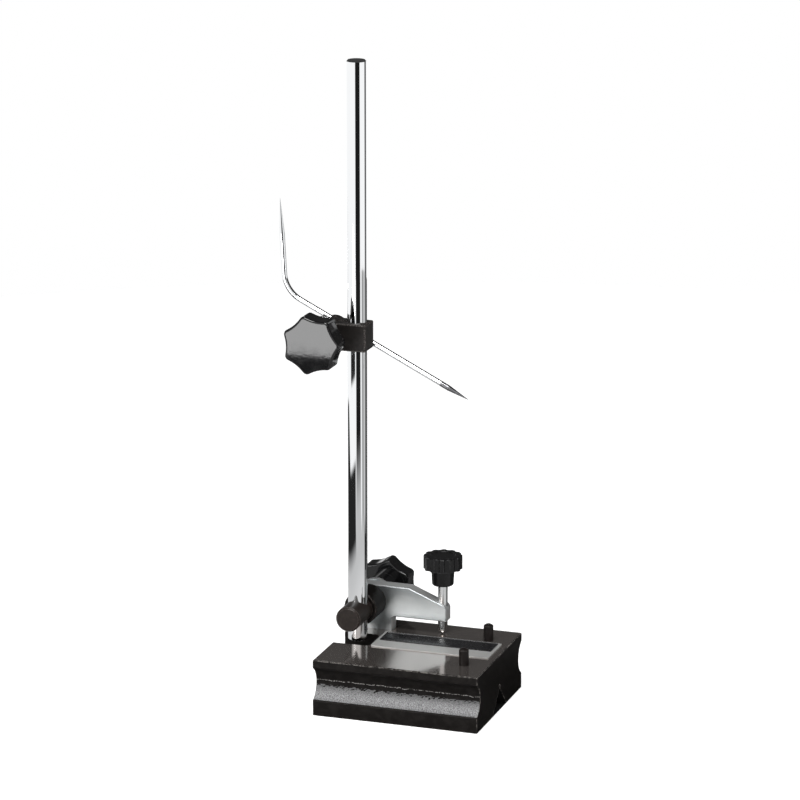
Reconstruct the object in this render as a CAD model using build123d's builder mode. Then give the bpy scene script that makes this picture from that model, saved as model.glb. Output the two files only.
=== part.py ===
from build123d import *

import math
import os

# Surface gauge: a cast base carries a rocker, whose swivel pin holds an upright column.
# A split block on the column clamps a bent scriber.
# Origin: centre of the base's underside. X runs along the base, Y to its back, Z up. Sizes in mm.

# Base casting
BASE_LENGTH = 87.0
BASE_WIDTH = 75.5
BASE_HEIGHT = 29.5
TOP_BAND = 4.3
BOTTOM_BAND = 8.0
COVE_DEPTH = 5.5
COVE_LIP_RADIUS = 0.8
BASE_EDGE = 0.4
VEE_WIDTH = 24.0
VEE_RELIEF_WIDTH = 2.0
VEE_RELIEF_DEPTH = 1.5

# Clearances
RUNNING_FIT = 0.05
FACE_GAP = 0.05
SCREW_TIP_GAP = 0.1
SLIDE_GAP = 0.15
BLOCK_FACE_GAP = 0.1
ROCKING_GAP = 0.8

# Column and the notch that its lower end swings in
COLUMN_DIAMETER = 10.0
COLUMN_LENGTH = 300.0
COLUMN_END_CHAMFER = 0.6
COLUMN_INSET = 10.5
COLUMN_FROM_ROCKER = 22.5
NOTCH_LENGTH = 19.5
NOTCH_WIDTH = 19.0
NOTCH_DEPTH = 12.0
NOTCH_CORNER = 3.0

# Guide pins
GUIDE_PIN_DIAMETER = 5.0
GUIDE_PIN_STANDOUT = 9.0
GUIDE_PIN_DOME = 1.1
GUIDE_PIN_RECESS = 0.3
GUIDE_PIN_FOOT_CHAMFER = 0.5
GUIDE_PIN_INSET = 12.5
GUIDE_PIN_SIDE_INSET = 17.25

# Blank plate on the base top
PLATE_THICKNESS = 0.6
PLATE_CORNER = 0.8
PLATE_INSET = 3.6
PLATE_NOTCH_GAP = 1.1
PLATE_FRONT_PIN_GAP = 10.0
PLATE_REAR_PIN_GAP = 2.4

# Rocker
ROCKER_THICKNESS = 7.6
ROCKER_INSET = 13.75
ROCKER_END_INSET = 1.5
ROCKER_TOP = 23.5
ROCKER_UNDERSIDE = 7.4
ROCKER_CREST_LENGTH = 30.0
ROCKER_NOSE_REACH = 50.3
ROCKER_NOSE_SHOULDER = 15.2
ROCKER_HEEL_RADIUS = 6.0
ROCKER_CREST_RADIUS = 4.0
ROCKER_NOSE_RADIUS = 3.0
ROCKER_TOE_RADIUS = 1.6
ROCKER_EDGE = 0.5
FOOT_LENGTH = 20.8
FOOT_DEPTH = 14.0
FOOT_CORNER = 3.0
SLOT_FLOOR_GAP = 1.0
BOSS_DIAMETER = 18.0
BOSS_HEIGHT = 3.7

# Pivot of the rocker, and the spring under its tail
PIVOT_DIAMETER = 5.0
PIVOT_DEPTH = 8.0
PIVOT_INSET = 12.0
PIVOT_WALL = 2.05
PIVOT_BACK_CHAMFER = 0.4
SPRING_DIAMETER = 5.0
SPRING_WIRE = 0.7
SPRING_TURNS = 5
SPRING_POCKET_CLEARANCE = 0.5
SPRING_POCKET_DEPTH = 7.5
SPRING_FROM_PIVOT = 6.0

# Adjusting screw and its knob
ADJUST_SCREW_DIAMETER = 5.0
ADJUST_SCREW_FROM_COLUMN = 38.3
ADJUST_KNOB_UNDERSIDE = 26.2
ADJUST_HUB_DIAMETER = 12.0
ADJUST_HUB_HEIGHT = 8.8
ADJUST_HUB_TAPER = 0.5
ADJUST_HUB_ROUND = 0.8
ADJUST_HEAD_DIAMETER = 20.0
ADJUST_HEAD_HEIGHT = 7.2
ADJUST_SCALLOPS = 12
ADJUST_SCALLOP_RADIUS = 1.9
ADJUST_SCALLOP_DEPTH = 0.9
ADJUST_HEAD_ROUND = 0.7
ADJUST_DISH_DIAMETER = 13.0
ADJUST_DISH_DEPTH = 0.5
ADJUST_DISH_SLOPE = 45.0
ADJUST_SCREW_ENGAGEMENT = 11.0

# Swivel pin through the column, its sleeve and washer
SWIVEL_HEIGHT = 15.0
SWIVEL_BARREL_DIAMETER = 13.0
SWIVEL_FRONT_LENGTH = 15.8
SWIVEL_BACK_LENGTH = 11.5
SWIVEL_END_CHAMFER = 0.8
SWIVEL_SHANK_DIAMETER = 8.0
SLEEVE_DIAMETER = 17.5
SLEEVE_OVERLAP = 1.5
SLEEVE_SADDLE_CLEARANCE = 0.3
SLEEVE_EDGE = 0.5
SWIVEL_DRAW = 0.4
SWIVEL_WASHER_DIAMETER = 16.0
SWIVEL_WASHER_THICKNESS = 1.6
WASHER_HOLE_CLEARANCE = 0.2
WASHER_EDGE = 0.25

# Lobed clamping knobs and their threaded inserts
KNOB_DIAMETER = 30.2
KNOB_LOBES = 7
KNOB_FLUTE_RADIUS = 20.0
KNOB_FLUTE_DEPTH = 1.9
KNOB_LOBE_ROUND = 2.4
KNOB_HEAD_THICKNESS = 11.0
KNOB_FACE_ROUND = 1.2
KNOB_BACK_ROUND = 1.0
KNOB_HUB_DIAMETER = 16.0
KNOB_HUB_LENGTH = 9.0
KNOB_HUB_ROUND = 0.6
CLAMP_KNOB_TURN = 3.0
SWIVEL_KNOB_TURN = 20.9
INSERT_DIAMETER = 11.0
INSERT_LENGTH = 14.0
INSERT_EDGE = 0.4
INSERT_END_GAP = 0.3
THREAD_STOP = 2.0

# Clamp block on the column
BLOCK_HEIGHT_ON_COLUMN = 160.0
BLOCK_HEIGHT = 14.0
BLOCK_DEPTH = 13.0
BLOCK_COLUMN_SIDE = 6.5
BLOCK_BOLT_SIDE = 7.1
BLOCK_EDGE = 0.5
BLOCK_SPLIT = 1.6
BOLT_FROM_COLUMN = 14.9
BOLT_DIAMETER = 6.0
BOLT_HEAD_DIAMETER = 14.4
BOLT_HEAD_BACK = 1.6
BOLT_HEAD_EDGE = 0.6
CLAMP_WASHER_DIAMETER = 12.0
CLAMP_WASHER_THICKNESS = 1.6

# Scriber
SCRIBER_DIAMETER = 2.8
SCRIBER_SLOPE = 26.6
SCRIBER_REACH = 77.0
SCRIBER_BEND_DISTANCE = 31.6
SCRIBER_BEND_RADIUS = 16.0
SCRIBER_LEG_LENGTH = 47.6
SCRIBER_LEG_LEAN = 3.0
SCRIBER_TAPER = 18.0
SCRIBER_TIP_RADIUS = 0.12
POINT_LENGTH = 16.0
POINT_CONE = 11.4

os.makedirs("parts", exist_ok=True)

# Places that follow from the sizes
base_left = -BASE_LENGTH / 2
base_right = BASE_LENGTH / 2
base_back = BASE_WIDTH / 2
column_x = base_left + COLUMN_INSET
rocker_y = base_back - ROCKER_INSET
column_y = rocker_y - COLUMN_FROM_ROCKER
column_radius = COLUMN_DIAMETER / 2
swivel_z = BASE_HEIGHT + SWIVEL_HEIGHT
rocker_front = rocker_y - ROCKER_THICKNESS / 2
rocker_back = rocker_y + ROCKER_THICKNESS / 2
rocker_left = base_left + ROCKER_END_INSET
rocker_right = rocker_left + ROCKER_NOSE_REACH
foot_right = rocker_left + FOOT_LENGTH
foot_bottom = BASE_HEIGHT - FOOT_DEPTH
slot_floor = foot_bottom - SLOT_FLOOR_GAP
pivot_x = base_left + PIVOT_INSET
pivot_z = BASE_HEIGHT - PIVOT_DEPTH
spring_x = pivot_x - SPRING_FROM_PIVOT
screw_x = column_x + ADJUST_SCREW_FROM_COLUMN
pivot_front = column_y + NOTCH_WIDTH / 2 + PIVOT_WALL
guide_pin_x = base_right - GUIDE_PIN_INSET
guide_pin_y = base_back - GUIDE_PIN_SIDE_INSET
guide_pin_inner = guide_pin_y - GUIDE_PIN_DIAMETER / 2
cove_bottom = BOTTOM_BAND
cove_top = BASE_HEIGHT - TOP_BAND
cove_height = cove_top - cove_bottom
cove_middle = (cove_top + cove_bottom) / 2
cove_radius = (cove_height**2 / 4 + COVE_DEPTH**2) / (2 * COVE_DEPTH)
vee_depth = VEE_WIDTH / 2


def cove_surface(height):
    """Distance from the base's middle plane to its long side, at a height inside the cove."""
    arc_centre = base_back - COVE_DEPTH + cove_radius
    return arc_centre - math.sqrt(cove_radius**2 - (height - cove_middle) ** 2)


# Base: a cast bar with a cove along each long side and a vee groove along its underside.
with BuildPart() as base:
    with BuildSketch(Plane.YZ.offset(base_left)):
        with BuildLine():
            Polyline(
                (0, vee_depth + VEE_RELIEF_DEPTH),
                (VEE_RELIEF_WIDTH / 2, vee_depth + VEE_RELIEF_DEPTH),
                (VEE_RELIEF_WIDTH / 2, vee_depth - VEE_RELIEF_WIDTH / 2),
                (VEE_WIDTH / 2, 0),
                (base_back, 0),
                (base_back, cove_bottom),
            )
            ThreePointArc(
                (base_back, cove_bottom),
                (base_back - COVE_DEPTH, cove_middle),
                (base_back, cove_top),
            )
            Polyline((base_back, cove_top), (base_back, BASE_HEIGHT), (0, BASE_HEIGHT))
            mirror(about=Plane.YZ)
        make_face()
    extrude(amount=BASE_LENGTH)
    lip_edges = base.edges().filter_by(Axis.X).filter_by(
        lambda edge: abs(edge.center().Z - cove_bottom) < COVE_LIP_RADIUS
        or abs(edge.center().Z - cove_top) < COVE_LIP_RADIUS
    )
    fillet(lip_edges, COVE_LIP_RADIUS)
    chamfer(base.faces().sort_by(Axis.Z)[-1].edges(), BASE_EDGE)

    # Notch at the end, open upwards and outwards, for the lower end of the column
    with BuildSketch(Plane.XY.offset(BASE_HEIGHT)):
        with Locations((base_left, column_y)):
            Rectangle(NOTCH_LENGTH, NOTCH_WIDTH, align=(Align.MIN, Align.CENTER))
    extrude(amount=-NOTCH_DEPTH, mode=Mode.SUBTRACT)
    notch_corners = base.edges().filter_by(Axis.Z).filter_by(
        lambda edge: abs(edge.center().X - (base_left + NOTCH_LENGTH)) < NOTCH_CORNER
    )
    fillet(notch_corners, NOTCH_CORNER)

    # Slot for the rocker's foot, with the spring's pocket in its floor
    with BuildSketch(Plane.XY.offset(BASE_HEIGHT)):
        with Locations((base_left, rocker_y)):
            Rectangle(
                foot_right + ROCKING_GAP - base_left,
                ROCKER_THICKNESS + 2 * SLIDE_GAP,
                align=(Align.MIN, Align.CENTER),
            )
    extrude(amount=slot_floor - BASE_HEIGHT, mode=Mode.SUBTRACT)
    with Locations((spring_x, rocker_y, slot_floor)):
        Hole(SPRING_DIAMETER / 2 + SPRING_POCKET_CLEARANCE, SPRING_POCKET_DEPTH)

    # Cross hole of the pivot pin, drilled from the back through the slot and on into the rib
    with BuildSketch(Plane.XZ.offset(-pivot_front)):
        with Locations((pivot_x, pivot_z)):
            Circle(PIVOT_DIAMETER / 2)
    extrude(amount=-BASE_WIDTH, mode=Mode.SUBTRACT)

    # Through holes of the guide pins
    with Locations((guide_pin_x, 0, BASE_HEIGHT)):
        with GridLocations(0, 2 * guide_pin_y, 1, 2):
            Hole(GUIDE_PIN_DIAMETER / 2 + RUNNING_FIT)
base.part.label = "base"
export_step(base.part, "parts/base.step")


# Blank plate laid on the base top
plate_left = base_left + NOTCH_LENGTH + PLATE_NOTCH_GAP
plate_right = base_right - PLATE_INSET
plate_front = PLATE_FRONT_PIN_GAP - guide_pin_inner
plate_back = guide_pin_inner - PLATE_REAR_PIN_GAP
with BuildPart() as label_plate:
    with BuildSketch(Plane.XY.offset(BASE_HEIGHT)):
        with Locations(((plate_left + plate_right) / 2, (plate_front + plate_back) / 2)):
            RectangleRounded(plate_right - plate_left, plate_back - plate_front, PLATE_CORNER)
    extrude(amount=PLATE_THICKNESS)
label_plate.part.label = "label_plate"
export_step(label_plate.part, "parts/label_plate.step")


# Guide pins: pushed down, they stand out below the base and run along an edge.
guide_pin_bottom = GUIDE_PIN_RECESS
guide_pin_top = BASE_HEIGHT + GUIDE_PIN_STANDOUT
for side, name in ((-1, "guide_pin_front"), (1, "guide_pin_rear")):
    pin_plane = Plane(origin=(guide_pin_x, side * guide_pin_y, 0), x_dir=(1, 0, 0), z_dir=(0, -1, 0))
    pin_radius = GUIDE_PIN_DIAMETER / 2
    with BuildPart() as guide_pin:
        with BuildSketch(pin_plane):
            with BuildLine():
                Polyline(
                    (0, guide_pin_top),
                    (0, guide_pin_bottom),
                    (pin_radius - GUIDE_PIN_FOOT_CHAMFER, guide_pin_bottom),
                    (pin_radius, guide_pin_bottom + GUIDE_PIN_FOOT_CHAMFER),
                    (pin_radius, guide_pin_top - GUIDE_PIN_DOME),
                )
                dome_radius = (pin_radius**2 + GUIDE_PIN_DOME**2) / (2 * GUIDE_PIN_DOME)
                RadiusArc((pin_radius, guide_pin_top - GUIDE_PIN_DOME), (0, guide_pin_top), -dome_radius)
            make_face()
        revolve(axis=Axis(pin_plane.origin, (0, 0, 1)))
    guide_pin.part.label = name
    export_step(guide_pin.part, f"parts/{name}.step")


# Pivot pin of the rocker, pressed into the base and just below the surface of the cove
pivot_back = cove_surface(pivot_z + PIVOT_DIAMETER / 2) - PIVOT_BACK_CHAMFER
with BuildPart() as pivot_pin:
    with BuildSketch(Plane.XZ.offset(-pivot_front)):
        with Locations((pivot_x, pivot_z)):
            Circle(PIVOT_DIAMETER / 2)
    extrude(amount=-(pivot_back - pivot_front))
    chamfer(pivot_pin.faces().sort_by(Axis.Y)[-1].edges(), PIVOT_BACK_CHAMFER)
pivot_pin.part.label = "pivot_pin"
export_step(pivot_pin.part, "parts/pivot_pin.step")


# Coil spring under the rocker's tail: it keeps the adjusting screw's tip on the base.
spring_bottom = slot_floor - SPRING_POCKET_DEPTH + FACE_GAP
spring_height = foot_bottom - FACE_GAP - spring_bottom
spring_rise = spring_height - SPRING_WIRE
coil_radius = (SPRING_DIAMETER - SPRING_WIRE) / 2
spring_centre = (spring_x, rocker_y, spring_bottom + SPRING_WIRE / 2)
with BuildPart() as rocker_spring:
    with BuildLine() as coil:
        Helix(spring_rise / SPRING_TURNS, spring_rise, coil_radius, center=spring_centre)
    with BuildSketch(Plane(coil.line @ 0, z_dir=coil.line % 0)):
        Circle(SPRING_WIRE / 2)
    sweep(path=coil.line, is_frenet=True)
rocker_spring.part.label = "rocker_spring"
export_step(rocker_spring.part, "parts/rocker_spring.step")


# Rocker: a plated arm whose foot turns on the pivot pin in the base.
# The column's swivel pin goes through its root, the adjusting screw through its nose.
rocker_top = BASE_HEIGHT + ROCKER_TOP
rocker_under = BASE_HEIGHT + ROCKER_UNDERSIDE
crest_end = rocker_left + ROCKER_CREST_LENGTH
with BuildPart() as rocker_arm:
    with BuildSketch(Plane.XZ.offset(-rocker_front)) as outline:
        with BuildLine():
            Polyline(
                (rocker_left, foot_bottom),
                (foot_right, foot_bottom),
                (foot_right, rocker_under),
                (rocker_right, rocker_under),
                (rocker_right, BASE_HEIGHT + ROCKER_NOSE_SHOULDER),
                (crest_end, rocker_top),
                (rocker_left, rocker_top),
                close=True,
            )
        make_face()
        fillet(outline.vertices().group_by(Axis.Y)[0], FOOT_CORNER)
        heel = outline.vertices().filter_by(lambda v: v.X < rocker_left + FACE_GAP).sort_by(Axis.Y)
        fillet(heel[-1], ROCKER_HEEL_RADIUS)
        nose = outline.vertices().filter_by(lambda v: v.X > rocker_right - FACE_GAP).sort_by(Axis.Y)
        fillet(nose[-1], ROCKER_NOSE_RADIUS)
        fillet(nose[0], ROCKER_TOE_RADIUS)
        inner_corner = outline.vertices().filter_by(
            lambda v: abs(v.X - foot_right) < FACE_GAP and abs(v.Y - rocker_under) < FACE_GAP
        )
        fillet(inner_corner, ROCKER_TOE_RADIUS)
        crest = outline.vertices().filter_by(
            lambda v: abs(v.X - crest_end) < FACE_GAP and abs(v.Y - rocker_top) < FACE_GAP
        )
        fillet(crest, ROCKER_CREST_RADIUS)
    extrude(amount=-ROCKER_THICKNESS)
    fillet(rocker_arm.faces().sort_by(Axis.Y)[0].edges(), ROCKER_EDGE)
    fillet(rocker_arm.faces().sort_by(Axis.Y)[-1].edges(), ROCKER_EDGE)
    with BuildSketch(Plane.XZ.offset(-rocker_back)):
        with Locations((column_x, swivel_z)):
            Circle(BOSS_DIAMETER / 2)
    extrude(amount=-BOSS_HEIGHT)
    chamfer(rocker_arm.faces().sort_by(Axis.Y)[-1].edges(), ROCKER_EDGE)
    with BuildSketch(Plane.XZ.offset(-rocker_front)):
        with Locations((column_x, swivel_z)):
            Circle(SWIVEL_SHANK_DIAMETER / 2 + RUNNING_FIT)
        with Locations((pivot_x, pivot_z)):
            Circle(PIVOT_DIAMETER / 2 + RUNNING_FIT)
    extrude(amount=-(ROCKER_THICKNESS + BOSS_HEIGHT), mode=Mode.SUBTRACT)
    with BuildSketch(Plane.XY.offset(BASE_HEIGHT)):
        with Locations((screw_x, rocker_y)):
            Circle(ADJUST_SCREW_DIAMETER / 2 + RUNNING_FIT)
    extrude(amount=ROCKER_TOP, mode=Mode.SUBTRACT)
rocker_arm.part.label = "rocker_arm"
export_step(rocker_arm.part, "parts/rocker_arm.step")


# Adjusting screw: a ball-ended stem through the rocker's nose, bearing on the base top
adjust_axis = Plane(origin=(screw_x, rocker_y, BASE_HEIGHT), x_dir=(1, 0, 0), z_dir=(0, -1, 0))
screw_radius = ADJUST_SCREW_DIAMETER / 2
screw_top = ADJUST_KNOB_UNDERSIDE + ADJUST_SCREW_ENGAGEMENT
with BuildPart() as adjusting_screw:
    with BuildSketch(adjust_axis):
        with BuildLine():
            RadiusArc((0, SCREW_TIP_GAP), (screw_radius, SCREW_TIP_GAP + screw_radius), -screw_radius)
            Polyline(
                (screw_radius, SCREW_TIP_GAP + screw_radius),
                (screw_radius, screw_top),
                (0, screw_top),
                (0, SCREW_TIP_GAP),
            )
        make_face()
    revolve(axis=Axis(adjust_axis.origin, (0, 0, 1)))
adjusting_screw.part.label = "adjusting_screw"
export_step(adjusting_screw.part, "parts/adjusting_screw.step")


# Adjusting knob: a scalloped head on a slightly tapered hub, with a shallow dish on top
head_bottom = ADJUST_KNOB_UNDERSIDE + ADJUST_HUB_HEIGHT
head_top = head_bottom + ADJUST_HEAD_HEIGHT
with BuildPart() as adjusting_knob:
    with BuildSketch(Plane.XY.offset(BASE_HEIGHT + head_bottom)) as grip:
        with Locations((screw_x, rocker_y)):
            Circle(ADJUST_HEAD_DIAMETER / 2)
            scallop_centre = ADJUST_HEAD_DIAMETER / 2 - ADJUST_SCALLOP_DEPTH + ADJUST_SCALLOP_RADIUS
            with PolarLocations(scallop_centre, ADJUST_SCALLOPS):
                Circle(ADJUST_SCALLOP_RADIUS, mode=Mode.SUBTRACT)
    extrude(amount=ADJUST_HEAD_HEIGHT)
    fillet(adjusting_knob.faces().sort_by(Axis.Z)[-1].edges(), ADJUST_HEAD_ROUND)
    with BuildSketch(adjust_axis):
        with BuildLine():
            Polyline(
                (0, ADJUST_KNOB_UNDERSIDE),
                (ADJUST_HUB_DIAMETER / 2 - ADJUST_HUB_TAPER, ADJUST_KNOB_UNDERSIDE),
                (ADJUST_HUB_DIAMETER / 2, head_bottom),
                (0, head_bottom),
                close=True,
            )
        make_face()
    revolve(axis=Axis(adjust_axis.origin, (0, 0, 1)))
    fillet(adjusting_knob.faces().sort_by(Axis.Z)[0].edges(), ADJUST_HUB_ROUND)
    with BuildSketch(Plane.XY.offset(BASE_HEIGHT + head_top)):
        with Locations((screw_x, rocker_y)):
            Circle(ADJUST_DISH_DIAMETER / 2)
    extrude(amount=-ADJUST_DISH_DEPTH, taper=ADJUST_DISH_SLOPE, mode=Mode.SUBTRACT)
    with BuildSketch(Plane.XY.offset(BASE_HEIGHT + ADJUST_KNOB_UNDERSIDE)):
        with Locations((screw_x, rocker_y)):
            Circle(ADJUST_SCREW_DIAMETER / 2 + RUNNING_FIT)
    extrude(amount=ADJUST_SCREW_ENGAGEMENT + FACE_GAP, mode=Mode.SUBTRACT)
adjusting_knob.part.label = "adjusting_knob"
export_step(adjusting_knob.part, "parts/adjusting_knob.step")


# Swivel pin: its barrel is cross-drilled for the column, its shank goes through the rocker.
barrel_front = column_y - SWIVEL_FRONT_LENGTH
barrel_back = column_y + SWIVEL_BACK_LENGTH
washer_front = rocker_back + BOSS_HEIGHT + FACE_GAP
washer_back = washer_front + SWIVEL_WASHER_THICKNESS
rear_knob_front = washer_back + FACE_GAP
shank_back = rear_knob_front + INSERT_LENGTH - THREAD_STOP
with BuildPart() as swivel_pin:
    with BuildSketch(Plane.XZ.offset(-barrel_front)):
        with Locations((column_x, swivel_z)):
            Circle(SWIVEL_BARREL_DIAMETER / 2)
    extrude(amount=-(barrel_back - barrel_front))
    chamfer(swivel_pin.faces().sort_by(Axis.Y)[0].edges(), SWIVEL_END_CHAMFER)
    with BuildSketch(Plane.XZ.offset(-barrel_back)):
        with Locations((column_x, swivel_z)):
            Circle(SWIVEL_SHANK_DIAMETER / 2)
    extrude(amount=-(shank_back - barrel_back))
    chamfer(swivel_pin.faces().sort_by(Axis.Y)[-1].edges(), SWIVEL_END_CHAMFER)
    with BuildSketch(Plane.XY.offset(swivel_z)):
        with Locations((column_x, column_y)):
            Circle(column_radius + RUNNING_FIT)
    extrude(amount=SWIVEL_BARREL_DIAMETER, both=True, mode=Mode.SUBTRACT)
swivel_pin.part.label = "swivel_pin"
export_step(swivel_pin.part, "parts/swivel_pin.step")


# Thrust sleeve: slides on the barrel, with a saddle that bears on the back of the column
sleeve_front = column_y + column_radius - SLEEVE_OVERLAP
sleeve_back = rocker_front - FACE_GAP
with BuildPart() as thrust_sleeve:
    with BuildSketch(Plane.XZ.offset(-sleeve_front)):
        with Locations((column_x, swivel_z)):
            Circle(SLEEVE_DIAMETER / 2)
    extrude(amount=-(sleeve_back - sleeve_front))
    chamfer(thrust_sleeve.faces().sort_by(Axis.Y)[0].edges(), SLEEVE_EDGE)
    with BuildSketch(Plane.XZ.offset(-sleeve_front)):
        with Locations((column_x, swivel_z)):
            Circle(SWIVEL_BARREL_DIAMETER / 2 + RUNNING_FIT)
    extrude(amount=-(barrel_back + SWIVEL_DRAW - sleeve_front), mode=Mode.SUBTRACT)
    with BuildSketch(Plane.XZ.offset(-sleeve_front)):
        with Locations((column_x, swivel_z)):
            Circle(SWIVEL_SHANK_DIAMETER / 2 + RUNNING_FIT)
    extrude(amount=-(sleeve_back - sleeve_front), mode=Mode.SUBTRACT)
    with BuildSketch(Plane.XY.offset(swivel_z)):
        with Locations((column_x, column_y)):
            Circle(column_radius + SLEEVE_SADDLE_CLEARANCE)
    extrude(amount=SLEEVE_DIAMETER, both=True, mode=Mode.SUBTRACT)
thrust_sleeve.part.label = "thrust_sleeve"
export_step(thrust_sleeve.part, "parts/thrust_sleeve.step")


def flat_washer(name, plane, outer_diameter, bolt_diameter, thickness):
    """Washer that lies on a plane, centred on its origin, and reaches along its normal."""
    with BuildPart() as washer:
        with BuildSketch(plane):
            Circle(outer_diameter / 2)
            Circle(bolt_diameter / 2 + WASHER_HOLE_CLEARANCE, mode=Mode.SUBTRACT)
        extrude(amount=thickness)
        chamfer(washer.edges().filter_by(GeomType.CIRCLE).sort_by(SortBy.RADIUS)[-2:], WASHER_EDGE)
    washer.part.label = name
    export_step(washer.part, f"parts/{name}.step")


# Washer between the rocker's boss and the rear knob
rear_axis = Plane(origin=(column_x, washer_front, swivel_z), x_dir=(1, 0, 0), z_dir=(0, 1, 0))
flat_washer(
    "swivel_washer", rear_axis, SWIVEL_WASHER_DIAMETER, SWIVEL_SHANK_DIAMETER, SWIVEL_WASHER_THICKNESS
)


def threaded_insert(name, plane, bolt_diameter):
    """Brass insert of a knob: a bored bush on the plane's axis, its mouth at the plane."""
    with BuildPart() as insert:
        with BuildSketch(plane):
            Circle(INSERT_DIAMETER / 2)
            Circle(bolt_diameter / 2 + RUNNING_FIT, mode=Mode.SUBTRACT)
        extrude(amount=INSERT_LENGTH)
        chamfer(insert.edges().filter_by(GeomType.CIRCLE).sort_by(SortBy.RADIUS)[-2:], INSERT_EDGE)
    insert.part.label = name
    export_step(insert.part, f"parts/{name}.step")


def lobed_knob(name, plane, lobe_turn):
    """Moulded knob on the plane's axis: the hub starts at the plane, the closed face is beyond."""
    with BuildPart() as knob:
        with BuildSketch(plane.offset(KNOB_HUB_LENGTH)) as grip_outline:
            Circle(KNOB_DIAMETER / 2)
            flute_centre = KNOB_DIAMETER / 2 - KNOB_FLUTE_DEPTH + KNOB_FLUTE_RADIUS
            first_flute = lobe_turn + 180 / KNOB_LOBES
            with PolarLocations(flute_centre, KNOB_LOBES, start_angle=first_flute):
                Circle(KNOB_FLUTE_RADIUS, mode=Mode.SUBTRACT)
            fillet(grip_outline.vertices(), KNOB_LOBE_ROUND)
        extrude(amount=KNOB_HEAD_THICKNESS)
        ends = knob.faces().filter_by(Axis.Y).sort_by(Axis.Y)
        face_end = ends[-1] if plane.z_dir.Y > 0 else ends[0]
        back_end = ends[0] if plane.z_dir.Y > 0 else ends[-1]
        fillet(face_end.edges(), KNOB_FACE_ROUND)
        fillet(back_end.edges(), KNOB_BACK_ROUND)
        with BuildSketch(plane):
            Circle(KNOB_HUB_DIAMETER / 2)
        extrude(amount=KNOB_HUB_LENGTH)
        ends = knob.faces().filter_by(Axis.Y).sort_by(Axis.Y)
        hub_end = ends[0] if plane.z_dir.Y > 0 else ends[-1]
        fillet(hub_end.edges(), KNOB_HUB_ROUND)
        with BuildSketch(plane):
            Circle(INSERT_DIAMETER / 2 + RUNNING_FIT)
        extrude(amount=INSERT_LENGTH + INSERT_END_GAP, mode=Mode.SUBTRACT)
    knob.part.label = name
    export_step(knob.part, f"parts/{name}.step")


# Rear knob and its insert, on the swivel pin's thread: they clamp the column and its tilt.
rear_knob_axis = Plane(origin=(column_x, rear_knob_front, swivel_z), x_dir=(1, 0, 0), z_dir=(0, 1, 0))
threaded_insert("swivel_insert", rear_knob_axis, SWIVEL_SHANK_DIAMETER)
lobed_knob("swivel_knob", rear_knob_axis, SWIVEL_KNOB_TURN)


# Column: a ground and plated round bar
with BuildPart() as column:
    with BuildSketch(Plane.XY.offset(BASE_HEIGHT)):
        with Locations((column_x, column_y)):
            Circle(column_radius)
    extrude(amount=COLUMN_LENGTH)
    chamfer(column.edges().filter_by(GeomType.CIRCLE), COLUMN_END_CHAMFER)
column.part.label = "column"
export_step(column.part, "parts/column.step")


# Clamp block: bored for the column, split from the bore to its end, and drilled for the bolt
block_z = BASE_HEIGHT + BLOCK_HEIGHT_ON_COLUMN
block_front = column_y - BLOCK_DEPTH / 2
block_back = column_y + BLOCK_DEPTH / 2
block_left = column_x - BOLT_FROM_COLUMN - BLOCK_BOLT_SIDE
block_right = column_x + BLOCK_COLUMN_SIDE
bolt_x = column_x - BOLT_FROM_COLUMN
with BuildPart() as clamp_block:
    with BuildSketch(Plane.XY.offset(block_z - BLOCK_HEIGHT / 2)):
        with Locations((block_left, block_front)):
            Rectangle(block_right - block_left, BLOCK_DEPTH, align=(Align.MIN, Align.MIN))
    extrude(amount=BLOCK_HEIGHT)
    chamfer(clamp_block.edges(), BLOCK_EDGE)
    with Locations((column_x, column_y, block_z + BLOCK_HEIGHT / 2)):
        Hole(column_radius + RUNNING_FIT)
    with BuildSketch(Plane.XY.offset(block_z - BLOCK_HEIGHT / 2)):
        with Locations((block_left, column_y)):
            Rectangle(column_x - block_left, BLOCK_SPLIT, align=(Align.MIN, Align.CENTER))
    extrude(amount=BLOCK_HEIGHT, mode=Mode.SUBTRACT)
    with BuildSketch(Plane.XZ.offset(-block_front)):
        with Locations((bolt_x, block_z)):
            Circle(BOLT_DIAMETER / 2 + RUNNING_FIT)
    extrude(amount=-BLOCK_DEPTH, mode=Mode.SUBTRACT)
clamp_block.part.label = "clamp_block"
export_step(clamp_block.part, "parts/clamp_block.step")


# Line of the scriber: straight past the bolt, then bent up into a leg
scriber_radius = SCRIBER_DIAMETER / 2
slope = math.radians(SCRIBER_SLOPE)
lean = math.radians(SCRIBER_LEG_LEAN)
scriber_y = block_back + BLOCK_FACE_GAP + scriber_radius
scriber_offset = BOLT_DIAMETER / 2 + scriber_radius + RUNNING_FIT
along = Vector(math.cos(slope), 0, -math.sin(slope))
across = Vector(math.sin(slope), 0, math.cos(slope))
leg_direction = Vector(-math.sin(lean), 0, math.cos(lean))
scriber_seat = Vector(bolt_x, scriber_y, block_z) + across * scriber_offset
scriber_corner = scriber_seat - along * SCRIBER_BEND_DISTANCE
scriber_tip = scriber_seat + along * SCRIBER_REACH
point_start = scriber_tip - along * POINT_LENGTH
leg_end = scriber_corner + leg_direction * SCRIBER_LEG_LENGTH
taper_start = leg_end - leg_direction * SCRIBER_TAPER

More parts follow.
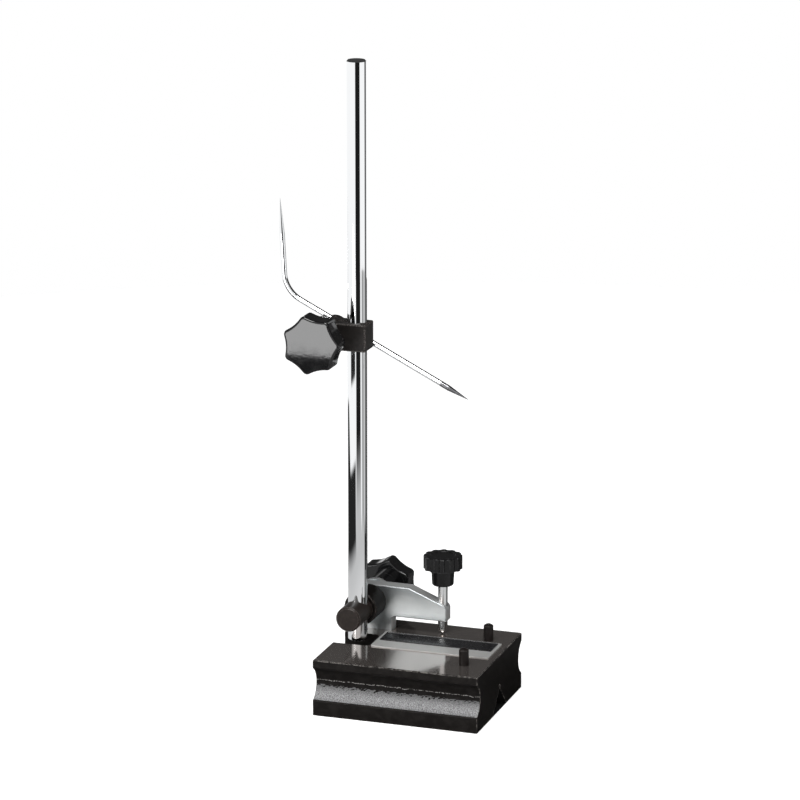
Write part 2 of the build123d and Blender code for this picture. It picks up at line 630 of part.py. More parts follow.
# Clamp bolt: a stud through the block. The groove in its head holds the scriber to the block.
head_front = block_back + BLOCK_FACE_GAP
head_back = scriber_y + scriber_radius + BOLT_HEAD_BACK
washer_y = block_front - FACE_GAP
knob_y = washer_y - CLAMP_WASHER_THICKNESS - FACE_GAP
stud_front = knob_y - INSERT_LENGTH + THREAD_STOP
with BuildPart() as clamp_bolt:
    with BuildSketch(Plane.XZ.offset(-head_back)):
        with Locations((bolt_x, block_z)):
            Circle(BOLT_HEAD_DIAMETER / 2)
    extrude(amount=head_back - head_front)
    chamfer(clamp_bolt.faces().sort_by(Axis.Y)[-1].edges(), BOLT_HEAD_EDGE)
    with BuildSketch(Plane.XZ.offset(-head_front)):
        with Locations((bolt_x, block_z)):
            Circle(BOLT_DIAMETER / 2)
    extrude(amount=head_front - stud_front)
    chamfer(clamp_bolt.faces().sort_by(Axis.Y)[0].edges(), BOLT_HEAD_EDGE)
    groove_plane = Plane(origin=scriber_seat, x_dir=(0, 1, 0), z_dir=along)
    with BuildSketch(groove_plane):
        Circle(scriber_radius + RUNNING_FIT)
        with Locations((-BOLT_HEAD_DIAMETER / 4, 0)):
            Rectangle(BOLT_HEAD_DIAMETER / 2, SCRIBER_DIAMETER + 2 * RUNNING_FIT)
    extrude(amount=BOLT_HEAD_DIAMETER, both=True, mode=Mode.SUBTRACT)
clamp_bolt.part.label = "clamp_bolt"
export_step(clamp_bolt.part, "parts/clamp_bolt.step")


# Scriber: round wire with a bend, drawn out to a needle at the end of the leg
with BuildPart() as scriber:
    with BuildLine() as scriber_path:
        FilletPolyline(point_start, scriber_corner, taper_start, radius=SCRIBER_BEND_RADIUS)
    with BuildSketch(Plane(origin=point_start, z_dir=-along)):
        Circle(scriber_radius)
    sweep(path=scriber_path.line)
    with BuildSketch(Plane(origin=taper_start, z_dir=leg_direction)):
        Circle(scriber_radius)
    with BuildSketch(Plane(origin=leg_end, z_dir=leg_direction)):
        Circle(SCRIBER_TIP_RADIUS)
    loft()
scriber.part.label = "scriber"
export_step(scriber.part, "parts/scriber.step")


# Hard point brazed on the scriber's working end
cone_start = scriber_tip - along * POINT_CONE
with BuildPart() as scriber_point:
    with BuildSketch(Plane(origin=point_start, z_dir=along)):
        Circle(scriber_radius)
    extrude(amount=POINT_LENGTH - POINT_CONE)
    with BuildSketch(Plane(origin=cone_start, z_dir=along)):
        Circle(scriber_radius)
    with BuildSketch(Plane(origin=scriber_tip, z_dir=along)):
        Circle(SCRIBER_TIP_RADIUS)
    loft()
scriber_point.part.label = "scriber_point"
export_step(scriber_point.part, "parts/scriber_point.step")


# Washer, insert and knob on the front of the clamp bolt
front_axis = Plane(origin=(bolt_x, washer_y, block_z), x_dir=(1, 0, 0), z_dir=(0, -1, 0))
flat_washer(
    "clamp_washer", front_axis, CLAMP_WASHER_DIAMETER, BOLT_DIAMETER, CLAMP_WASHER_THICKNESS
)
front_knob_axis = Plane(origin=(bolt_x, knob_y, block_z), x_dir=(1, 0, 0), z_dir=(0, -1, 0))
threaded_insert("clamp_insert", front_knob_axis, BOLT_DIAMETER)
lobed_knob("clamp_knob", front_knob_axis, CLAMP_KNOB_TURN)
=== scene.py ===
import math

import bpy
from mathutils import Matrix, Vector


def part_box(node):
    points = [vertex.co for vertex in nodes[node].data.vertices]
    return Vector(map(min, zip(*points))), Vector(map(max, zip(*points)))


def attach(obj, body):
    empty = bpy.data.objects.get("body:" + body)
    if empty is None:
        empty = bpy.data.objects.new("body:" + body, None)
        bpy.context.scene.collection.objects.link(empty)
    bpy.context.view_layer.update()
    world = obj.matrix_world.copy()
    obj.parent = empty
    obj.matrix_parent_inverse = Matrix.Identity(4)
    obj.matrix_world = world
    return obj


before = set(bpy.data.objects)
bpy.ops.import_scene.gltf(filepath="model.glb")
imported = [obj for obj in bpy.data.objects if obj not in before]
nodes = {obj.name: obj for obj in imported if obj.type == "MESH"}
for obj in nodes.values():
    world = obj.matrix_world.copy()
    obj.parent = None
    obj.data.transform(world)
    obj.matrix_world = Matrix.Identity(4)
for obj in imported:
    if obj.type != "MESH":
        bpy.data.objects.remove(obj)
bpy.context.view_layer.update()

# The camera stands in front of the gauge and a little to its right, above the plane it rests on.
# Its place and lens come from the base's corners and the column's edges.
CAMERA_PLACE = (0.61016, -1.82997, 0.67726)
CAMERA_PITCH = 15.033
CAMERA_YAW = 18.715
CAMERA_LENS = 179.56
SENSOR_WIDTH = 36.0
camera_data = bpy.data.cameras.new("gauge_camera")
camera_data.lens = CAMERA_LENS
camera_data.sensor_width = SENSOR_WIDTH
camera_data.sensor_height = SENSOR_WIDTH
camera = bpy.data.objects.new("gauge_camera", camera_data)
bpy.context.scene.collection.objects.link(camera)
camera.location = CAMERA_PLACE
camera.rotation_euler = (math.radians(90 - CAMERA_PITCH), 0, math.radians(CAMERA_YAW))
bpy.context.scene.camera = camera
bpy.context.scene.view_settings.view_transform = "Standard"

# The floor is a round sheet of white matt paper with the gauge at its middle.
# Polished metal sees it bright close by, and further out as the studio's screens and their gaps.
# Headings are in degrees, from straight in front of the gauge towards its right, and radii in metres.
FLOOR_RADIUS = 0.93
FLOOR_SIDES = 128
FLOOR_COLOR = (0.80, 0.80, 0.80)
SHADED_COLOR = (0.015, 0.015, 0.015)
FLOOR_LIFT = 0.52
HALF_TURN = 180
FULL_TURN = 360
HEADING_SOFTNESS = 6.0
SCREEN_LEVEL = 1.1
SCREENS = (
    (-180, 0.08), (-152, 0.08), (-146, 1.0), (2, 1.0), (6, 0.012), (54, 0.012), (58, 0.95),
    (72, 0.95), (77, 0.34), (97, 0.34), (101, 0.60), (120, 0.60), (125, 0.14), (180, 0.08),
)
NEAR_RADII = (0.125, 0.25)
NEAR_LEVELS = (0.76, 0.60)
UNDER_RADII = (0.095, 0.125)
UNDER_SHADE_LEVEL = 0.05
BACK_SHADE_LEVEL = 0.15
LIT_HEADINGS = (-152, 112)
FRONT_HEADINGS = (-4, 60)
FRONT_RADII = (0.30, 0.50)
SIDE_RADII = (0.25, 0.31)
RING_HEADINGS = (-128, 2)
RING_SOFTNESS = 14.0
RING_START = (0.232, 0.29)
RING_END = 0.43
RING_LEFT_END = 0.60
RING_LEFT_HEADINGS = (-95, -70)
RING_EDGE = 0.03
PATCH_HEADINGS = (-62, -4)
PATCH_START = (0.64, 0.665)
PATCH_END = (0.755, 0.775)
DARK_LEVEL = 0.02
# In a colour Mix node, sockets 6 and 7 take the colours and output 2 gives the mixed one.
COLOR_INPUTS = (6, 7)
COLOR_OUTPUT = 2


def deselect():
    """Leaves nothing selected, in object mode."""
    bpy.ops.object.select_all(action="DESELECT")


def new_material(name):
    """An empty material with an output node, and its node tree."""
    material = bpy.data.materials.new(name)
    material.use_nodes = True
    tree = material.node_tree
    tree.nodes.clear()
    output = tree.nodes.new("ShaderNodeOutputMaterial")
    return material, tree, output


def math_node(tree, operation, first, second=None, third=None):
    """A Math node on sockets or numbers; its output socket."""
    node = tree.nodes.new("ShaderNodeMath")
    node.operation = operation
    for index, value in enumerate((first, second, third)):
        if value is None:
            continue
        if isinstance(value, (int, float)):
            node.inputs[index].default_value = value
        else:
            tree.links.new(value, node.inputs[index])
    return node.outputs[0]


def ramp_between(tree, value, low, high, bottom=0.0, top=1.0):
    """Smooth step of a value from low to high, as a number from bottom to top."""
    node = tree.nodes.new("ShaderNodeMapRange")
    node.interpolation_type = "SMOOTHSTEP"
    for socket, setting in zip(("From Min", "From Max", "To Min", "To Max"), (low, high, bottom, top)):
        if isinstance(setting, (int, float)):
            node.inputs[socket].default_value = setting
        else:
            tree.links.new(setting, node.inputs[socket])
    tree.links.new(value, node.inputs["Value"])
    return node.outputs["Result"]


def mix_numbers(tree, factor, first, second):
    """A number that goes from the first to the second with a factor."""
    node = tree.nodes.new("ShaderNodeMix")
    for socket, setting in (("Factor", factor), ("A", first), ("B", second)):
        if isinstance(setting, (int, float)):
            node.inputs[socket].default_value = setting
        else:
            tree.links.new(setting, node.inputs[socket])
    return node.outputs["Result"]


def color_between(tree, mask, first, second):
    """A colour that goes from the first to the second with a mask. Each is a colour or a socket."""
    node = tree.nodes.new("ShaderNodeMix")
    node.data_type = "RGBA"
    for index, color in zip(COLOR_INPUTS, (first, second)):
        if isinstance(color, tuple):
            node.inputs[index].default_value = (*color, 1)
        else:
            tree.links.new(color, node.inputs[index])
    tree.links.new(mask, node.inputs["Factor"])
    return node.outputs[COLOR_OUTPUT]


def parts_of(tree, vector):
    """The X, Y and Z of a place or direction."""
    split = tree.nodes.new("ShaderNodeSeparateXYZ")
    tree.links.new(vector, split.inputs[0])
    return list(split.outputs)


def heading_of(tree, x_socket, y_socket):
    """Heading of a place or direction in degrees: 0 in front, 90 to the right."""
    ahead = math_node(tree, "MULTIPLY", y_socket, -1.0)
    heading = math_node(tree, "ARCTAN2", x_socket, ahead)
    return math_node(tree, "MULTIPLY", heading, HALF_TURN / math.pi)


def sector(tree, heading, start, end, edge=HEADING_SOFTNESS):
    """Mask of the headings from start to end."""
    opening = ramp_between(tree, heading, start, start + edge)
    closing = ramp_between(tree, heading, end - edge, end, 1.0, 0.0)
    return math_node(tree, "MULTIPLY", opening, closing)


deselect()
bpy.ops.mesh.primitive_circle_add(
    vertices=FLOOR_SIDES, radius=FLOOR_RADIUS, fill_type="NGON", location=(0, 0, 0)
)
floor = bpy.context.object
floor.name = "paper_floor"
paper, tree, output = new_material("paper")
place = tree.nodes.new("ShaderNodeTexCoord")
place_x, place_y, place_z = parts_of(tree, place.outputs["Object"])
square = math_node(tree, "MULTIPLY", place_x, place_x)
square = math_node(tree, "MULTIPLY_ADD", place_y, place_y, square)
reach = math_node(tree, "SQRT", square)
heading = heading_of(tree, place_x, place_y)

# Far out, a ramp of brightness by heading stands for the screens. Close by, a painted reflection stands for
# the lit paper, with painted shade under the gauge and behind it.
screens = tree.nodes.new("ShaderNodeValToRGB")
first_stop, last_stop = screens.color_ramp.elements
for stop, (angle, level) in ((first_stop, SCREENS[0]), (last_stop, SCREENS[-1])):
    stop.position = (angle + HALF_TURN) / FULL_TURN
    stop.color = (level, level, level, 1)
for angle, level in SCREENS[1:-1]:
    stop = screens.color_ramp.elements.new((angle + HALF_TURN) / FULL_TURN)
    stop.color = (level, level, level, 1)
turn = math_node(tree, "MULTIPLY_ADD", heading, 1 / FULL_TURN, HALF_TURN / FULL_TURN)
tree.links.new(turn, screens.inputs["Fac"])
far = math_node(tree, "MULTIPLY", screens.outputs["Color"], SCREEN_LEVEL)
near = ramp_between(tree, reach, *NEAR_RADII, *NEAR_LEVELS)
# Painted shade in the mirrored paper: it is darker under the gauge and outside the lit headings.
under = ramp_between(tree, reach, *UNDER_RADII, UNDER_SHADE_LEVEL, 1.0)
near = math_node(tree, "MULTIPLY", near, under)
lit_part = sector(tree, heading, *LIT_HEADINGS)
near = math_node(tree, "MULTIPLY", near, mix_numbers(tree, lit_part, BACK_SHADE_LEVEL, 1.0))
front_part = sector(tree, heading, *FRONT_HEADINGS)
outwards = mix_numbers(
    tree, front_part, ramp_between(tree, reach, *SIDE_RADII), ramp_between(tree, reach, *FRONT_RADII)
)
level = mix_numbers(tree, outwards, near, far)

# A dark ring shows in the lower column, and a dark patch under the shine of the front knob.
ring_end = ramp_between(tree, heading, *RING_LEFT_HEADINGS, RING_LEFT_END, RING_END)
ring_fade = math_node(tree, "ADD", ring_end, RING_EDGE)
ring = sector(tree, heading, *RING_HEADINGS, RING_SOFTNESS)
ring = math_node(tree, "MULTIPLY", ring, ramp_between(tree, reach, *RING_START))
ring = math_node(tree, "MULTIPLY", ring, ramp_between(tree, reach, ring_end, ring_fade, 1.0, 0.0))
level = mix_numbers(tree, ring, level, DARK_LEVEL)
patch = sector(tree, heading, *PATCH_HEADINGS)
patch = math_node(tree, "MULTIPLY", patch, ramp_between(tree, reach, *PATCH_START))
patch = math_node(tree, "MULTIPLY", patch, ramp_between(tree, reach, *PATCH_END, 1.0, 0.0))
level = mix_numbers(tree, patch, level, DARK_LEVEL)
mirrored = tree.nodes.new("ShaderNodeEmission")
tree.links.new(level, mirrored.inputs["Strength"])

# Under the base the paper's colour is painted dark and its lift is taken away, as painted shade, so that the
# vee groove isn't lit from below.
base_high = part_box("base")[1]
beside = math_node(tree, "COMPARE", place_x, 0.0, base_high.x)
between = math_node(tree, "COMPARE", place_y, 0.0, base_high.y)
covered = math_node(tree, "MULTIPLY", beside, between)
open_part = math_node(tree, "SUBTRACT", 1.0, covered)
diffuse = tree.nodes.new("ShaderNodeBsdfDiffuse")
tree.links.new(color_between(tree, open_part, SHADED_COLOR, FLOOR_COLOR), diffuse.inputs["Color"])
lift = tree.nodes.new("ShaderNodeEmission")
path = tree.nodes.new("ShaderNodeLightPath")
seen = math_node(tree, "MAXIMUM", path.outputs["Is Camera Ray"], path.outputs["Is Transmission Ray"])
seen = math_node(tree, "MULTIPLY", seen, open_part)
tree.links.new(math_node(tree, "MULTIPLY", seen, FLOOR_LIFT), lift.inputs["Strength"])
lit = tree.nodes.new("ShaderNodeAddShader")
tree.links.new(diffuse.outputs[0], lit.inputs[0])
tree.links.new(lift.outputs[0], lit.inputs[1])
either = tree.nodes.new("ShaderNodeMixShader")
tree.links.new(path.outputs["Is Glossy Ray"], either.inputs["Fac"])
tree.links.new(lit.outputs[0], either.inputs[1])
tree.links.new(mirrored.outputs[0], either.inputs[2])
tree.links.new(either.outputs[0], output.inputs["Surface"])
floor.data.materials.append(paper)

# The studio is white all round and to the eye, and dark above and behind the gauge.
# Polished metal also sees a dark panel beside the camera and a gap between two screens on the right.
AMBIENT = 0.42
PANEL_LEVEL = 0.012
PANEL_HEADINGS = (2, 58)
GAP_LEVEL = 0.14
GAP_HEADINGS = (121, 168)
SCREEN_SOFTNESS = 4.0
SCREEN_TOP = (0.04, 0.12)
UPPER_BACK_LEVEL = 0.052
UPPER_START = (0.02, 0.12)
BACK_START = (-0.80, -0.35)
world = bpy.data.worlds.new("studio")
bpy.context.scene.world = world
world.use_nodes = True
tree = world.node_tree
tree.nodes.clear()
world_output = tree.nodes.new("ShaderNodeOutputWorld")
direction = tree.nodes.new("ShaderNodeTexCoord")
toward_x, toward_y, toward_z = parts_of(tree, direction.outputs["Generated"])
heading = heading_of(tree, toward_x, toward_y)
low_down = ramp_between(tree, toward_z, *SCREEN_TOP, 1.0, 0.0)
panel = math_node(tree, "MULTIPLY", sector(tree, heading, *PANEL_HEADINGS, SCREEN_SOFTNESS), low_down)
brightness = mix_numbers(tree, panel, SCREEN_LEVEL, PANEL_LEVEL)
gap = math_node(tree, "MULTIPLY", sector(tree, heading, *GAP_HEADINGS, SCREEN_SOFTNESS), low_down)
brightness = mix_numbers(tree, gap, brightness, GAP_LEVEL)
upper = ramp_between(tree, toward_z, *UPPER_START)
behind = ramp_between(tree, toward_y, *BACK_START)
upper_back = math_node(tree, "MULTIPLY", upper, behind)
brightness = mix_numbers(tree, upper_back, brightness, UPPER_BACK_LEVEL)
path = tree.nodes.new("ShaderNodeLightPath")
to_camera = math_node(tree, "MAXIMUM", path.outputs["Is Camera Ray"], path.outputs["Is Transmission Ray"])
reflected = math_node(tree, "MULTIPLY", path.outputs["Is Glossy Ray"], brightness)
seen = math_node(tree, "MAXIMUM", to_camera, reflected)
any_seen = math_node(tree, "MAXIMUM", to_camera, path.outputs["Is Glossy Ray"])
unseen = math_node(tree, "SUBTRACT", 1.0, any_seen)
level = math_node(tree, "MULTIPLY_ADD", unseen, AMBIENT, seen)
background = tree.nodes.new("ShaderNodeBackground")
background.inputs["Color"].default_value = (1, 1, 1, 1)
tree.links.new(level, background.inputs["Strength"])
tree.links.new(background.outputs[0], world_output.inputs["Surface"])

# Soft lamps light the gauge from high in front, from low on the left and from the right.
# A small card, low in front, is there only for the shine that it gives the knob's face.
# A row holds a lamp's name, place, target, width, height and watts, and whether metal mirrors it.
LAMPS = (
    ("high_lamp", (0.10, -0.62, 1.25), (0.0, 0.0, 0.06), 0.60, 0.45, 12.0, True),
    ("low_lamp", (-0.36, -0.86, 0.30), (-0.03, 0.0, 0.17), 0.55, 0.55, 4.0, False),
    ("side_lamp", (1.05, -0.10, 0.55), (0.0, 0.0, 0.12), 0.40, 0.60, 2.5, False),
    ("knob_card", (-0.166, -0.379, 0.1195), (-0.166, 0.0, 0.1195), 0.16, 0.062, 0.235, True),
)
for name, place, target, width, height, power, mirrored in LAMPS:
    lamp_data = bpy.data.lights.new(name, "AREA")
    lamp_data.shape = "RECTANGLE"
    lamp_data.size = width
    lamp_data.size_y = height
    lamp_data.energy = power
    lamp = bpy.data.objects.new(name, lamp_data)
    bpy.context.scene.collection.objects.link(lamp)
    lamp.location = place
    lamp.rotation_euler = (Vector(target) - Vector(place)).to_track_quat("-Z", "Y").to_euler()
    lamp.visible_camera = False
    lamp.visible_glossy = mirrored

# Base: a grey iron casting, blackened all over, with its top and ends ground and its coves left rough.
# The ground top is dark but mirrors like metal, and its corners are lightened, partly as worn iron and
# partly as painted highlight.
BASE_BLACK = (0.0068, 0.0058, 0.0053)
BASE_MOTTLE = (0.0115, 0.0100, 0.0093)
BASE_WORN_AND_HIGHLIGHT = (0.30, 0.28, 0.26)
IRON_SPECULAR = 0.12
MOTTLE_NOISE = (260.0, 5.0, 0.65)
MOTTLE_RANGE = (0.42, 0.66)
SIDE_ROUGHNESS = 0.42
COVE_ROUGHNESS = 0.62
COVE_BAND = (0.0330, 0.0374)
END_FACING = (0.3, 0.5)
SMEAR_NOISE = (60.0, 5.0)
SMEAR_DEPTH = 0.06
TOP_METAL = (0.36, 0.325, 0.305)
TOP_METALLIC = 0.9
TOP_ROUGHNESS = 0.07
TOP_SMOOTHNESS = 0.97
TOP_FACING = (0.9, 0.98)
TOP_EDGE = 0.0003
GLINT_LINE_HEIGHT = 0.0176
GLINT_LINE_HALF = 0.00022
GLINT_LINE_WANDER = 0.0022
GLINT_LINE_NOISE = (240.0, 4.0, 0.6)
GLINT_LINE_BREAKS = (900.0, 3.0, 0.6)
GLINT_LINE_BREAK_RANGE = (0.42, 0.56)
PAINTED_GLINT_COLOR = (0.30, 0.29, 0.28)
PIT_NOISE = (1100.0, 4.0, 0.7)
PIT_DEPTH = 0.00006
PIT_STRENGTH = 0.5
ROUNDING_SAMPLES = 6
EDGE_BREAKUP_DETAIL = 3.0
EDGE_BREAKUP_RANGE = (0.40, 0.60)
SHARP_RANGE = (0.005, 0.035)
GRAIN_DETAIL = 4.0


def new_group(name, inputs, outputs):
    """A shader node group with named float inputs and typed outputs, and its two end nodes."""
    group = bpy.data.node_groups.new(name, "ShaderNodeTree")
    for socket, value in inputs:
        made = group.interface.new_socket(name=socket, in_out="INPUT", socket_type="NodeSocketFloat")
        made.default_value = value
    for socket, kind in outputs:
        group.interface.new_socket(name=socket, in_out="OUTPUT", socket_type=kind)
    return group, group.nodes.new("NodeGroupInput"), group.nodes.new("NodeGroupOutput")


def use_group(tree, group, **values):
    """One use of a shared effect, with its own values."""
    node = tree.nodes.new("ShaderNodeGroup")
    node.node_tree = group
    for name, value in values.items():
        node.inputs[name].default_value = value
    return node


def noise_at(tree, scale, detail=3.0, roughness=0.5, vector=None):
    """Noise of a scale, detail and roughness, on Object coordinates or a vector from them; its number."""
    noise = tree.nodes.new("ShaderNodeTexNoise")
    noise.inputs["Scale"].default_value = scale
    noise.inputs["Detail"].default_value = detail
    noise.inputs["Roughness"].default_value = roughness
    if vector is None:
        vector = tree.nodes.new("ShaderNodeTexCoord").outputs["Object"]
    tree.links.new(vector, noise.inputs["Vector"])
    return noise.outputs["Fac"]


def dress(node_name, material):
    """Gives a CAD node its finish."""
    mesh = nodes[node_name].data
    mesh.materials.clear()
    mesh.materials.append(material)


def new_finish(name, metallic=0.0, specular=0.5):
    """A material with one Principled shader, for a piece's finish."""
    material, tree, output = new_material(name)
    shader = tree.nodes.new("ShaderNodeBsdfPrincipled")
    shader.inputs["Metallic"].default_value = metallic
    shader.inputs["Specular IOR Level"].default_value = specular
    tree.links.new(shader.outputs[0], output.inputs["Surface"])
    return material, tree, shader


def roughen(tree, shader, height, depth, strength):
    """Gives a finish a fine relief, from a height."""
    bump = tree.nodes.new("ShaderNodeBump")
    bump.inputs["Distance"].default_value = depth
    bump.inputs["Strength"].default_value = strength
    tree.links.new(height, bump.inputs["Height"])
    tree.links.new(bump.outputs["Normal"], shader.inputs["Normal"])


# Edge wear and painted highlight: sharp edges, broken up by noise, are lightened partly as wear and partly
# as painted highlight.
edge_wear_and_highlight, start, end = new_group(
    "edge_wear_and_highlight",
    (("Width", 0.0006), ("Breakup", 900.0), ("Amount", 1.0)),
    (("Mask", "NodeSocketFloat"),),
)
rounded = edge_wear_and_highlight.nodes.new("ShaderNodeBevel")
rounded.samples = ROUNDING_SAMPLES
edge_wear_and_highlight.links.new(start.outputs["Width"], rounded.inputs["Radius"])
surface = edge_wear_and_highlight.nodes.new("ShaderNodeNewGeometry")
facing = edge_wear_and_highlight.nodes.new("ShaderNodeVectorMath")
facing.operation = "DOT_PRODUCT"
edge_wear_and_highlight.links.new(rounded.outputs[0], facing.inputs[0])
edge_wear_and_highlight.links.new(surface.outputs["Normal"], facing.inputs[1])
edge = math_node(edge_wear_and_highlight, "SUBTRACT", 1.0, facing.outputs["Value"])
place = edge_wear_and_highlight.nodes.new("ShaderNodeTexCoord")
edge_breakup_noise = edge_wear_and_highlight.nodes.new("ShaderNodeTexNoise")
edge_breakup_noise.inputs["Detail"].default_value = EDGE_BREAKUP_DETAIL
edge_wear_and_highlight.links.new(place.outputs["Object"], edge_breakup_noise.inputs["Vector"])
edge_wear_and_highlight.links.new(start.outputs["Breakup"], edge_breakup_noise.inputs["Scale"])
edge_breakup = ramp_between(edge_wear_and_highlight, edge_breakup_noise.outputs["Fac"], *EDGE_BREAKUP_RANGE)
sharp = ramp_between(edge_wear_and_highlight, edge, *SHARP_RANGE)
worn_and_highlight = math_node(edge_wear_and_highlight, "MULTIPLY", edge_breakup, sharp)
edge_wear_and_highlight.links.new(math_node(edge_wear_and_highlight, "MULTIPLY", worn_and_highlight, start.outputs["Amount"]), end.inputs["Mask"])

fine_grain, start, end = new_group(
    "fine_grain",
    (("Scale", 2000.0), ("Depth", 0.00002), ("Strength", 0.3)),
    (("Normal", "NodeSocketVector"), ("Grain", "NodeSocketFloat")),
)
place = fine_grain.nodes.new("ShaderNodeTexCoord")
noise = fine_grain.nodes.new("ShaderNodeTexNoise")
noise.inputs["Detail"].default_value = GRAIN_DETAIL
fine_grain.links.new(place.outputs["Object"], noise.inputs["Vector"])
fine_grain.links.new(start.outputs["Scale"], noise.inputs["Scale"])
bump = fine_grain.nodes.new("ShaderNodeBump")
fine_grain.links.new(noise.outputs["Fac"], bump.inputs["Height"])
fine_grain.links.new(start.outputs["Depth"], bump.inputs["Distance"])
fine_grain.links.new(start.outputs["Strength"], bump.inputs["Strength"])
fine_grain.links.new(bump.outputs["Normal"], end.inputs["Normal"])
fine_grain.links.new(noise.outputs["Fac"], end.inputs["Grain"])

black_iron, tree, shader = new_finish("black_iron", specular=IRON_SPECULAR)
place = tree.nodes.new("ShaderNodeTexCoord")
place_x, place_y, place_z = parts_of(tree, place.outputs["Object"])
facing_x, facing_y, facing_z = parts_of(tree, place.outputs["Normal"])
wear_and_highlight = use_group(tree, edge_wear_and_highlight, Width=0.0005, Breakup=700.0, Amount=0.75)
mottle = ramp_between(tree, noise_at(tree, *MOTTLE_NOISE), *MOTTLE_RANGE)
black_color = color_between(tree, mottle, BASE_BLACK, BASE_MOTTLE)
on_top = ramp_between(tree, facing_z, *TOP_FACING)
near_top = ramp_between(tree, place_z, base_high.z - 2 * TOP_EDGE, base_high.z - TOP_EDGE)
ground_top = math_node(tree, "MULTIPLY", on_top, near_top)
base_color = color_between(tree, ground_top, black_color, TOP_METAL)
worn_and_highlight_color = color_between(tree, wear_and_highlight.outputs["Mask"], base_color, BASE_WORN_AND_HIGHLIGHT)
tree.links.new(math_node(tree, "MULTIPLY", ground_top, TOP_METALLIC), shader.inputs["Metallic"])
in_cove = ramp_between(tree, math_node(tree, "ABSOLUTE", place_y), *COVE_BAND, 1.0, 0.0)
on_side = ramp_between(tree, math_node(tree, "ABSOLUTE", facing_x), *END_FACING, 1.0, 0.0)
cove_part = math_node(tree, "MULTIPLY", in_cove, on_side)
side_roughness = mix_numbers(tree, cove_part, SIDE_ROUGHNESS, COVE_ROUGHNESS)
roughness = mix_numbers(tree, ground_top, side_roughness, TOP_ROUGHNESS)
smear = noise_at(tree, *SMEAR_NOISE)
tree.links.new(math_node(tree, "MULTIPLY_ADD", smear, SMEAR_DEPTH, roughness), shader.inputs["Roughness"])

# A thin broken line of painted highlight wanders along the cove.
wander = math_node(tree, "MULTIPLY_ADD", noise_at(tree, *GLINT_LINE_NOISE), GLINT_LINE_WANDER, -GLINT_LINE_WANDER / 2)
painted_glint = math_node(tree, "SUBTRACT", math_node(tree, "ADD", place_z, wander), GLINT_LINE_HEIGHT)
painted_glint = ramp_between(tree, math_node(tree, "ABSOLUTE", painted_glint), GLINT_LINE_HALF / 2, GLINT_LINE_HALF, 1.0, 0.0)
broken = ramp_between(tree, noise_at(tree, *GLINT_LINE_BREAKS), *GLINT_LINE_BREAK_RANGE)
painted_glint = math_node(tree, "MULTIPLY", math_node(tree, "MULTIPLY", painted_glint, broken), cove_part)
tree.links.new(color_between(tree, painted_glint, worn_and_highlight_color, PAINTED_GLINT_COLOR), shader.inputs["Base Color"])
pitted = math_node(tree, "SUBTRACT", 1.0, math_node(tree, "MULTIPLY", ground_top, TOP_SMOOTHNESS))
pitting = math_node(tree, "MULTIPLY", noise_at(tree, *PIT_NOISE), pitted)
roughen(tree, shader, pitting, PIT_DEPTH, PIT_STRENGTH)
dress("base", black_iron)

# Cast skin: the lower half of each cove is left as it came from the sand.
# It is a crust of coarse grains with a ragged upper edge; its colour is painted lighter low down, where it
# faces up to the light, and darker higher up as painted shade.
# The cove's arc is worked out from its lower and upper edges and its depth, to a tenth of a micrometre.
COVE_BOTTOM = 0.0080
COVE_TOP = 0.0252
COVE_DEPTH = 0.0055
COVE_HALF = (COVE_TOP - COVE_BOTTOM) / 2
COVE_DIGITS = 7
COVE_RADIUS = round((COVE_HALF**2 + COVE_DEPTH**2) / (2 * COVE_DEPTH), COVE_DIGITS)
COVE_CENTRE_Y = round(base_high.y - COVE_DEPTH + COVE_RADIUS, COVE_DIGITS)
COVE_CENTRE_Z = (COVE_TOP + COVE_BOTTOM) / 2
SKIN_SINK = 0.00004
SKIN_SHIFT = 0.00024
SKIN_FROM = 62.0
SKIN_TO = 9.0
SKIN_STEPS = 26
SKIN_CUTS = 100
SKIN_END_GAP = 0.0002
SKIN_GRAIN = 0.00020
SKIN_GRAIN_SIZE = 0.00045
SKIN_THICKNESS = 0.0005
SKIN_DARK = (0.075, 0.075, 0.076)
SKIN_BRIGHT = (0.36, 0.36, 0.365)
SKIN_PAINTED_LIGHT_FADE = (0.0100, 0.0152)
SKIN_PAINTED_SHADE_LEVEL = 0.22
SKIN_GRAIN_DETAIL = 3
SKIN_METALLIC = 0.25
SKIN_SPECULAR = 0.3
SKIN_ROUGHNESS = 0.62
SKIN_GRAIN_SHINE = 0.15
SKIN_COLOR_NOISE = (2400.0, 3.0, 0.7)
SKIN_COLOR_RANGE = (0.34, 0.66)
SKIN_RELIEF_NOISE = (2200.0, 3.0, 0.7)
SKIN_RELIEF = 0.00012
SKIN_RELIEF_STRENGTH = 0.6
SKIN_SMOOTH_ANGLE = 60


def apply_modifiers(piece):
    """Applies a piece's modifiers in their order."""
    bpy.context.view_layer.objects.active = piece
    for modifier in list(piece.modifiers):
        bpy.ops.object.modifier_apply(modifier=modifier.name)


cast_skin, tree, shader = new_finish("cast_skin", metallic=SKIN_METALLIC, specular=SKIN_SPECULAR)
place = tree.nodes.new("ShaderNodeTexCoord")
place_x, place_y, place_z = parts_of(tree, place.outputs["Object"])
grains = ramp_between(tree, noise_at(tree, *SKIN_COLOR_NOISE), *SKIN_COLOR_RANGE)
